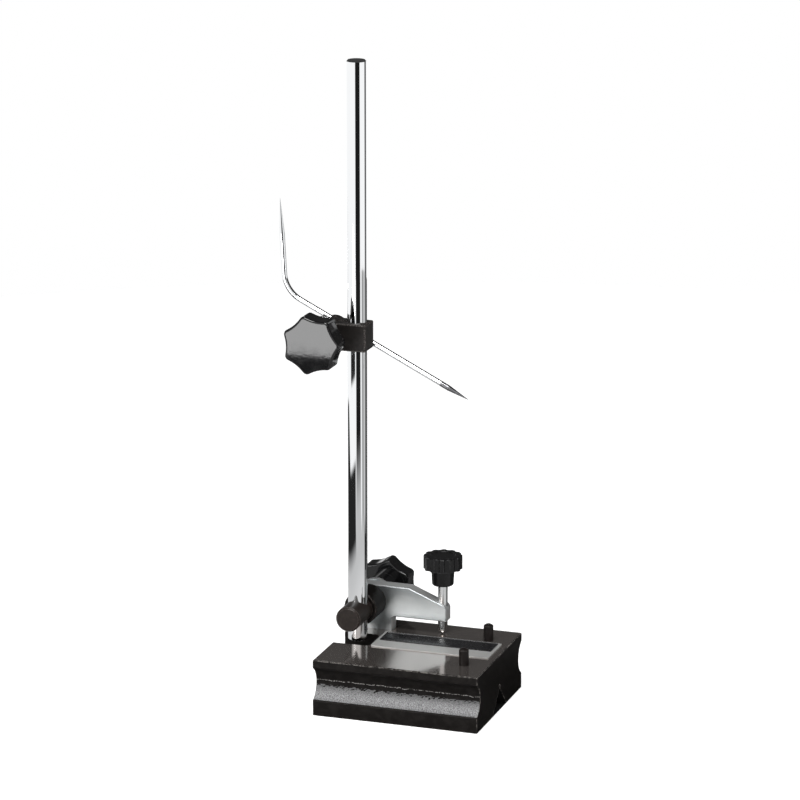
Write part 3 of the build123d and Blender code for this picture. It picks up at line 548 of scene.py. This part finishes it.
# Painted light: the skin's colour is lighter low in the cove and fades to painted shade higher up.
painted_light_fade = ramp_between(tree, place_z, *SKIN_PAINTED_LIGHT_FADE, 1.0, SKIN_PAINTED_SHADE_LEVEL)
shown = math_node(tree, "MULTIPLY", grains, painted_light_fade)
tree.links.new(color_between(tree, shown, SKIN_DARK, SKIN_BRIGHT), shader.inputs["Base Color"])
spread = math_node(tree, "MULTIPLY_ADD", grains, -SKIN_GRAIN_SHINE, SKIN_ROUGHNESS)
tree.links.new(spread, shader.inputs["Roughness"])
roughen(tree, shader, noise_at(tree, *SKIN_RELIEF_NOISE), SKIN_RELIEF, SKIN_RELIEF_STRENGTH)
grain_texture = bpy.data.textures.new("sand_grain", "CLOUDS")
grain_texture.noise_scale = SKIN_GRAIN_SIZE
grain_texture.noise_depth = SKIN_GRAIN_DETAIL
skin_radius = COVE_RADIUS + SKIN_SINK
first = math.radians(SKIN_FROM)
sweep = math.radians(SKIN_FROM - SKIN_TO)
half_length = base_high.x - SKIN_END_GAP
for side, name in ((-1, "cast_skin_front"), (1, "cast_skin_back")):
    # A line along the cove's foot is cut fine and then spun up the cove.
    centre = Vector((0, side * COVE_CENTRE_Y, COVE_CENTRE_Z + SKIN_SHIFT))
    start_place = centre + Vector((0, -side * skin_radius * math.cos(first), -skin_radius * math.sin(first)))
    deselect()
    bpy.ops.mesh.primitive_plane_add(size=2 * half_length, location=start_place)
    skin = bpy.context.object
    skin.name = name
    bpy.ops.object.transform_apply(location=True, rotation=False, scale=False)
    bpy.ops.object.mode_set(mode="EDIT")
    bpy.ops.mesh.select_all(action="DESELECT")
    bpy.ops.object.mode_set(mode="OBJECT")
    for vertex in skin.data.vertices:
        vertex.select = vertex.co.y > start_place.y
    bpy.ops.object.mode_set(mode="EDIT")
    bpy.ops.mesh.delete(type="VERT")
    bpy.ops.mesh.select_all(action="SELECT")
    bpy.ops.transform.translate(value=(0, half_length, 0))
    bpy.ops.mesh.subdivide(number_cuts=SKIN_CUTS)
    bpy.ops.mesh.select_all(action="SELECT")
    bpy.ops.mesh.spin(steps=SKIN_STEPS, angle=side * sweep, center=centre, axis=(1, 0, 0))
    bpy.ops.mesh.select_all(action="SELECT")
    bpy.ops.mesh.normals_make_consistent(inside=False)
    bpy.ops.object.mode_set(mode="OBJECT")
    middle_face = skin.data.polygons[len(skin.data.polygons) // 2]
    if middle_face.normal.y * side < 0:
        bpy.ops.object.mode_set(mode="EDIT")
        bpy.ops.mesh.flip_normals()
        bpy.ops.object.mode_set(mode="OBJECT")
    coarse = skin.modifiers.new("grain", "DISPLACE")
    coarse.texture = grain_texture
    coarse.texture_coords = "LOCAL"
    coarse.strength = SKIN_GRAIN
    crust = skin.modifiers.new("crust", "SOLIDIFY")
    crust.thickness = SKIN_THICKNESS
    crust.offset = -1
    apply_modifiers(skin)
    bpy.ops.object.shade_smooth_by_angle(angle=math.radians(SKIN_SMOOTH_ANGLE))
    skin.data.materials.append(cast_skin)
    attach(skin, "base")

# Plate: thin satin aluminium, brushed along its length and fixed to the base top.
# Its back part carries a plain black enamelled field inside a bright border.
PLATE_SILVER = (0.44, 0.44, 0.43)
FIELD_BLACK = (0.012, 0.012, 0.013)
FIELD_SIDE_BORDER = 0.0016
FIELD_BACK_BORDER = 0.0014
FIELD_FRONT_SHARE = 0.40
FIELD_HEIGHT = 0.00012
FIELD_BEVEL = 0.0006
FIELD_BEVEL_STEPS = 5
FIELD_RIM_STEPS = 2
FIELD_SMOOTH_ANGLE = 40
PLATE_METALLIC = 0.40
BRUSH_STRETCH = (60.0, 5200.0, 60.0)
BRUSH_DETAIL = 4.0
BRUSH_SPREAD = 0.14
BRUSH_ROUGHNESS = 0.40
BRUSH_DEPTH = 0.00001
BRUSH_STRENGTH = 0.5
ENAMEL_SPECULAR = 0.5
ENAMEL_NOISE = (300.0, 3.0)
ENAMEL_SPREAD = 0.10
ENAMEL_ROUGHNESS = 0.22


def streaks(tree, stretch, detail):
    """Noise drawn out into streaks; its number."""
    place = tree.nodes.new("ShaderNodeTexCoord")
    drawn = tree.nodes.new("ShaderNodeMapping")
    drawn.inputs["Scale"].default_value = stretch
    tree.links.new(place.outputs["Object"], drawn.inputs["Vector"])
    return noise_at(tree, 1.0, detail, vector=drawn.outputs["Vector"])


brushed_plate, tree, shader = new_finish("brushed_plate", metallic=PLATE_METALLIC)
shader.inputs["Base Color"].default_value = (*PLATE_SILVER, 1)
brush = streaks(tree, BRUSH_STRETCH, BRUSH_DETAIL)
spread = math_node(tree, "MULTIPLY_ADD", brush, BRUSH_SPREAD, BRUSH_ROUGHNESS)
tree.links.new(spread, shader.inputs["Roughness"])
roughen(tree, shader, brush, BRUSH_DEPTH, BRUSH_STRENGTH)
dress("label_plate", brushed_plate)

plate_low, plate_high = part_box("label_plate")
field_left = plate_low.x + FIELD_SIDE_BORDER
field_right = plate_high.x - FIELD_SIDE_BORDER
field_front = plate_low.y + FIELD_FRONT_SHARE * (plate_high.y - plate_low.y)
field_back = plate_high.y - FIELD_BACK_BORDER
deselect()
bpy.ops.mesh.primitive_cube_add(
    size=1,
    location=((field_left + field_right) / 2, (field_front + field_back) / 2, plate_high.z),
    scale=(field_right - field_left, field_back - field_front, 2 * FIELD_HEIGHT),
)
field = bpy.context.object
field.name = "plate_field"
bpy.ops.object.transform_apply(location=True, rotation=False, scale=True)
# Every edge is bevelled, by more than the slab's thickness, so its rim folds over and stands higher.
bpy.ops.object.mode_set(mode="EDIT")
bpy.ops.mesh.select_mode(type="EDGE")
bpy.ops.mesh.select_all(action="SELECT")
bpy.ops.mesh.bevel(offset=FIELD_BEVEL, segments=FIELD_BEVEL_STEPS)
bpy.ops.object.mode_set(mode="OBJECT")
rim = field.modifiers.new("rim", "BEVEL")
rim.width = FIELD_HEIGHT / 2
rim.segments = FIELD_RIM_STEPS
rim.limit_method = "ANGLE"
apply_modifiers(field)
bpy.ops.object.shade_smooth_by_angle(angle=math.radians(FIELD_SMOOTH_ANGLE))
black_enamel, tree, shader = new_finish("black_enamel", specular=ENAMEL_SPECULAR)
shader.inputs["Base Color"].default_value = (*FIELD_BLACK, 1)
clouded = noise_at(tree, *ENAMEL_NOISE)
spread = math_node(tree, "MULTIPLY_ADD", clouded, ENAMEL_SPREAD, ENAMEL_ROUGHNESS)
tree.links.new(spread, shader.inputs["Roughness"])
field.data.materials.append(black_enamel)
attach(field, "base")

# Guide pins: turned steel pins with domed tops, blackened, that slide in the base.
# The black is thin, so the rims of the domes and feet are worn to a dull grey, which is partly painted
# highlight.
OXIDE_WORN_AND_HIGHLIGHT = (0.24, 0.215, 0.20)
OXIDE_WEAR_AND_HIGHLIGHT = 0.6
OXIDE_PATCHES = (420.0, 4.0, 0.6)
OXIDE_PATCH_RANGE = (0.40, 0.68)
OXIDE_LIGHTER = 1.45
OXIDE_SPREAD = 0.16
PIN_BLACK = (0.008, 0.0063, 0.0058)
PIN_ROUGHNESS = 0.34
PIN_SPECULAR = 0.20
PIN_WEAR_AND_HIGHLIGHT = 0.35


def oxide_finish(name, tint, roughness, specular, wear_and_highlight_amount=OXIDE_WEAR_AND_HIGHLIGHT):
    """Black oxide on steel: a brown-black skin with edges lightened by use and by a painted highlight, and a
    fine grain.
    """
    material, tree, shader = new_finish(name, specular=specular)
    wear_and_highlight = use_group(tree, edge_wear_and_highlight, Width=0.0003, Breakup=1400.0, Amount=wear_and_highlight_amount)
    patches = ramp_between(tree, noise_at(tree, *OXIDE_PATCHES), *OXIDE_PATCH_RANGE)
    lighter = tuple(OXIDE_LIGHTER * part for part in tint)
    skin_color = color_between(tree, patches, tint, lighter)
    worn_and_highlight_color = color_between(tree, wear_and_highlight.outputs["Mask"], skin_color, OXIDE_WORN_AND_HIGHLIGHT)
    tree.links.new(worn_and_highlight_color, shader.inputs["Base Color"])
    grain = use_group(tree, fine_grain, Scale=1800.0, Depth=0.00002, Strength=0.35)
    tree.links.new(grain.outputs["Normal"], shader.inputs["Normal"])
    smoothest = roughness - OXIDE_SPREAD / 2
    spread = math_node(tree, "MULTIPLY_ADD", grain.outputs["Grain"], OXIDE_SPREAD, smoothest)
    tree.links.new(spread, shader.inputs["Roughness"])
    return material


pin_oxide = oxide_finish("pin_oxide", PIN_BLACK, PIN_ROUGHNESS, PIN_SPECULAR, PIN_WEAR_AND_HIGHLIGHT)
for name in ("guide_pin_front", "guide_pin_rear"):
    dress(name, pin_oxide)

# Pivot pin and spring: a ground steel dowel pressed into the base, with its end just inside the cove,
# and dark drawn wire coiled into the spring that stands in the pocket next to it.
DOWEL_STEEL = (0.56, 0.56, 0.56)
DOWEL_ROUGHNESS = 0.28
WIRE_STEEL = (0.40, 0.40, 0.41)
WIRE_ROUGHNESS = 0.25
TURNED_GRAIN = (1200.0, 0.00002, 0.3)
WIRE_GRAIN = (1500.0, 0.00001, 0.3)


def bright_metal(name, color, roughness, grain_values=TURNED_GRAIN):
    """Plated or polished metal with a fine grain of a scale, depth and strength."""
    material, tree, shader = new_finish(name, metallic=1.0)
    shader.inputs["Base Color"].default_value = (*color, 1)
    scale, depth, strength = grain_values
    grain = use_group(tree, fine_grain, Scale=scale, Depth=depth, Strength=strength)
    tree.links.new(grain.outputs["Normal"], shader.inputs["Normal"])
    spread = math_node(tree, "MULTIPLY_ADD", grain.outputs["Grain"], roughness / 2, roughness * 3 / 4)
    tree.links.new(spread, shader.inputs["Roughness"])
    return material


pin_steel = bright_metal("pin_steel", DOWEL_STEEL, DOWEL_ROUGHNESS)
dress("pivot_pin", pin_steel)
spring_wire = bright_metal("spring_wire", WIRE_STEEL, WIRE_ROUGHNESS, WIRE_GRAIN)
dress("rocker_spring", spring_wire)

# Rocker arm: flat steel cut to shape and satin plated.
# Its broad faces are smooth, and its narrow edges are sawn and filed before plating, so they are duller, and
# their lighter colour is a painted highlight.
ARM_PLATING = (0.50, 0.535, 0.545)
ARM_DULLED = (0.45, 0.485, 0.495)
ARM_EDGE_HIGHLIGHT = (0.80, 0.81, 0.81)
ARM_FACING = (0.5, 0.85)
ARM_CLOUDS = (70.0, 4.0, 0.6)
ARM_CLOUD_RANGE = (0.35, 0.70)
ARM_STRETCH = (40.0, 300.0, 2600.0)
ARM_STREAK_DETAIL = 3.0
ARM_SPREAD = 0.10
ARM_ROUGHNESS = 0.26
ARM_EDGE_ROUGHNESS = 0.62
ARM_RELIEF_NOISE = (800.0, 4.0)
ARM_RELIEF = 0.000012
ARM_RELIEF_STRENGTH = 0.35
arm_plating, tree, shader = new_finish("arm_plating", metallic=1.0)
place = tree.nodes.new("ShaderNodeTexCoord")
facing_x, facing_y, facing_z = parts_of(tree, place.outputs["Normal"])
# Painted highlight: the narrow faces, found by their normals, get a lighter colour than the broad faces.
narrow = ramp_between(tree, math_node(tree, "ABSOLUTE", facing_y), *ARM_FACING, 1.0, 0.0)
dull = ramp_between(tree, noise_at(tree, *ARM_CLOUDS), *ARM_CLOUD_RANGE)
broad_color = color_between(tree, dull, ARM_PLATING, ARM_DULLED)
tree.links.new(color_between(tree, narrow, broad_color, ARM_EDGE_HIGHLIGHT), shader.inputs["Base Color"])
polish = streaks(tree, ARM_STRETCH, ARM_STREAK_DETAIL)
broad_roughness = math_node(tree, "MULTIPLY_ADD", polish, ARM_SPREAD, ARM_ROUGHNESS)
roughness = mix_numbers(tree, narrow, broad_roughness, ARM_EDGE_ROUGHNESS)
tree.links.new(roughness, shader.inputs["Roughness"])
roughen(tree, shader, noise_at(tree, *ARM_RELIEF_NOISE), ARM_RELIEF, ARM_RELIEF_STRENGTH)
dress("rocker_arm", arm_plating)

# Adjusting screw: a turned steel stem, nickel plated, screwed down through the arm's nose.
# Its end bears on the base top.
SCREW_NICKEL = (0.72, 0.73, 0.73)
SCREW_ROUGHNESS = 0.10
SCREW_GRAIN = (900.0, 0.000008, 0.2)
screw_nickel = bright_metal("screw_nickel", SCREW_NICKEL, SCREW_ROUGHNESS, SCREW_GRAIN)
dress("adjusting_screw", screw_nickel)

# Adjusting knob: a scalloped knob of black phenolic, moulded glossy and fixed on the adjusting screw.
# Handling leaves a few fine scuffs, as on the clamping knobs, and a faint grey on the rims that is partly
# rubbing and partly painted highlight.
KNOB_BLACK = (0.006, 0.006, 0.0063)
KNOB_RUBBED_AND_HIGHLIGHT = (0.060, 0.060, 0.060)
SCUFF_NOISE = (160.0, 5.0, 0.65)
SCUFF_RANGE = (0.45, 0.75)
SCUFF_ROUGHNESS = 0.04
SMALL_KNOB_ROUGHNESS = 0.16
SMALL_KNOB_SPECULAR = 0.28


def phenolic(name, roughness, specular):
    """Moulded black phenolic with rims lightened by handling and by a painted highlight."""
    material, tree, shader = new_finish(name, specular=specular)
    wear_and_highlight = use_group(tree, edge_wear_and_highlight, Width=0.0005, Breakup=500.0, Amount=0.5)
    rubbed_and_highlight_color = color_between(tree, wear_and_highlight.outputs["Mask"], KNOB_BLACK, KNOB_RUBBED_AND_HIGHLIGHT)
    tree.links.new(rubbed_and_highlight_color, shader.inputs["Base Color"])
    grain = use_group(tree, fine_grain, Scale=700.0, Depth=0.00002, Strength=0.15)
    tree.links.new(grain.outputs["Normal"], shader.inputs["Normal"])
    scuffs = ramp_between(tree, noise_at(tree, *SCUFF_NOISE), *SCUFF_RANGE)
    scuffed = math_node(tree, "MULTIPLY_ADD", scuffs, SCUFF_ROUGHNESS, roughness)
    tree.links.new(scuffed, shader.inputs["Roughness"])
    return material


small_knob_phenolic = phenolic("small_knob_phenolic", SMALL_KNOB_ROUGHNESS, SMALL_KNOB_SPECULAR)
dress("adjusting_knob", small_knob_phenolic)

# Swivel pin and its thrust sleeve: turned steel, blackened, brown where the light catches them.
# The pin's end is faced flat, with a rim lightened partly by wear and partly as painted highlight.
SWIVEL_BROWN = (0.015, 0.0113, 0.0096)
SWIVEL_ROUGHNESS = 0.42
SWIVEL_SPECULAR = 0.22
SLEEVE_BLACK = (0.004, 0.0031, 0.0027)
SLEEVE_ROUGHNESS = 0.40
SLEEVE_SPECULAR = 0.12
swivel_oxide = oxide_finish("swivel_oxide", SWIVEL_BROWN, SWIVEL_ROUGHNESS, SWIVEL_SPECULAR)
dress("swivel_pin", swivel_oxide)
sleeve_oxide = oxide_finish("sleeve_oxide", SLEEVE_BLACK, SLEEVE_ROUGHNESS, SLEEVE_SPECULAR)
dress("thrust_sleeve", sleeve_oxide)

# Washers: punched from sheet steel and zinc plated.
# One lies under each clamping knob.
WASHER_ZINC = (0.62, 0.63, 0.64)
WASHER_ROUGHNESS = 0.30
washer_zinc = bright_metal("washer_zinc", WASHER_ZINC, WASHER_ROUGHNESS)
for name in ("swivel_washer", "clamp_washer"):
    dress(name, washer_zinc)

# Threaded inserts: turned brass bushes.
# One is moulded into each clamping knob.
INSERT_BRASS = (0.66, 0.47, 0.20)
INSERT_ROUGHNESS = 0.25
insert_brass = bright_metal("insert_brass", INSERT_BRASS, INSERT_ROUGHNESS)
for name in ("swivel_insert", "clamp_insert"):
    dress(name, insert_brass)

# Clamping knobs: seven-lobed phenolic mouldings, one behind the rocker and one on the clamp bolt.
# They are glossier than the small knob, so the front one's flat face mirrors the card.
CLAMPING_KNOB_ROUGHNESS = 0.035
CLAMPING_KNOB_SPECULAR = 0.45
large_knob_phenolic = phenolic("large_knob_phenolic", CLAMPING_KNOB_ROUGHNESS, CLAMPING_KNOB_SPECULAR)
for name in ("swivel_knob", "clamp_knob"):
    dress(name, large_knob_phenolic)

# Column and scriber: ground steel rod with hard chrome, polished to a mirror.
# A very fine grain keeps their shine from being perfect.
COLUMN_CHROME = (0.83, 0.84, 0.85)
COLUMN_ROUGHNESS = 0.032
COLUMN_GRAIN = (300.0, 0.000003, 0.05)
SCRIBER_CHROME = (0.80, 0.81, 0.82)
SCRIBER_ROUGHNESS = 0.03
SCRIBER_GRAIN = (900.0, 0.000002, 0.04)
chrome = bright_metal("chrome", COLUMN_CHROME, COLUMN_ROUGHNESS, COLUMN_GRAIN)
dress("column", chrome)
scriber_chrome = bright_metal("scriber_chrome", SCRIBER_CHROME, SCRIBER_ROUGHNESS, SCRIBER_GRAIN)
dress("scriber", scriber_chrome)

# Clamp block and bolt: milled and turned steel, blackened, that pinch the column and hold the scriber.
# Their corners are lightened, partly by wear and partly as painted highlight.
BLOCK_BLACK = (0.010, 0.0085, 0.0078)
BLOCK_ROUGHNESS = 0.44
BLOCK_SPECULAR = 0.25
BLOCK_WEAR_AND_HIGHLIGHT = 1.0
block_oxide = oxide_finish("block_oxide", BLOCK_BLACK, BLOCK_ROUGHNESS, BLOCK_SPECULAR, BLOCK_WEAR_AND_HIGHLIGHT)
for name in ("clamp_block", "clamp_bolt"):
    dress(name, block_oxide)

# Scriber's hard point: sintered carbide, ground to a cone.
# It is darker than the chromed rod that carries it.
CARBIDE_GREY = (0.20, 0.20, 0.21)
CARBIDE_ROUGHNESS = 0.22
hard_point = bright_metal("hard_point", CARBIDE_GREY, CARBIDE_ROUGHNESS)
dress("scriber_point", hard_point)
